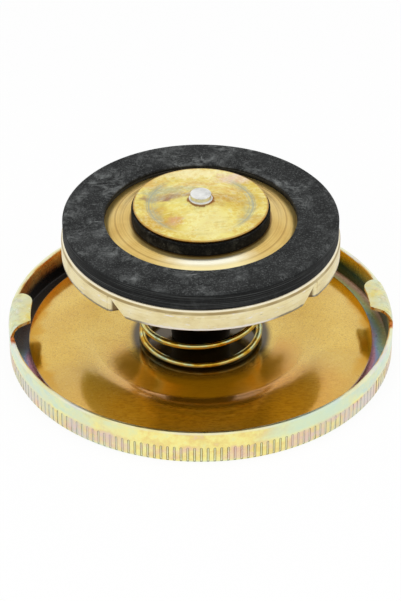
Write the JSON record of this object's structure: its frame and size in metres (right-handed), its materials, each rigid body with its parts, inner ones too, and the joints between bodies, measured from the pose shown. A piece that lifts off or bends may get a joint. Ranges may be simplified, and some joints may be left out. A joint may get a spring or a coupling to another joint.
{
  "type": "radiator cap",
  "caption": "Pressed-steel radiator cap lying on its outer face: fluted rim with bayonet lugs, gold diaphragm, and a sprung pressure valve that carries a vacuum valve.",
  "frame": {"origin": "centre of the cap's outer face, which is the face it lies on", "axes": "+Z along the cap's axis, out of the shell towards the filler neck; +X through a bayonet lug"},
  "size_m": [0.078, 0.078, 0.0369],
  "materials": {
    "zinc_shell": "satin",
    "gold_lacquer": "satin",
    "plain_steel": "satin",
    "rivet_steel": "satin",
    "zinc_wire": "satin",
    "cream_plate": "satin",
    "zinc_valve": "satin",
    "zinc_disc": "satin",
    "gasket_rubber": "matte",
    "seal_rubber": "matte",
    "stem_aluminium": "satin"
  },
  "bodies": {
    "shell": {"cap_shell": "zinc_shell", "diaphragm": "gold_lacquer", "guide_tube": "plain_steel", "centre_rivet": "rivet_steel"},
    "spring": {"pressure_spring": "zinc_wire"},
    "valve": {"valve_cup": "cream_plate", "pressure_gasket": "gasket_rubber", "gasket_retainer": "zinc_valve", "valve_sleeve": "plain_steel"},
    "light_spring": {"vacuum_spring": "plain_steel"},
    "vacuum": {"vacuum_disc": "zinc_disc", "vacuum_seal": "seal_rubber", "vacuum_stem": "stem_aluminium", "spring_washer": "plain_steel"}
  },
  "joints": [
    {"name": "valve_swivel", "type": "hinge", "parent": "shell", "child": "spring", "pos_m": [0, 0, 0.0027], "axis": [0, 0, 1], "continuous": true},
    {"name": "pressure_slide", "type": "slide", "parent": "spring", "child": "valve", "axis": [0, 0, -1], "range_m": [0, 0.01], "stiffness_N_per_m": 700, "springref_m": -0.03, "deforming": ["pressure_spring"]},
    {"name": "vacuum_swivel", "type": "hinge", "parent": "valve", "child": "light_spring", "pos_m": [0, 0, 0.0302], "axis": [0, 0, 1], "continuous": true},
    {"name": "vacuum_slide", "type": "slide", "parent": "light_spring", "child": "vacuum", "axis": [0, 0, 1], "range_m": [0, 0.0025], "stiffness_N_per_m": 300, "springref_m": -0.005, "deforming": ["vacuum_spring"]}
  ]
}
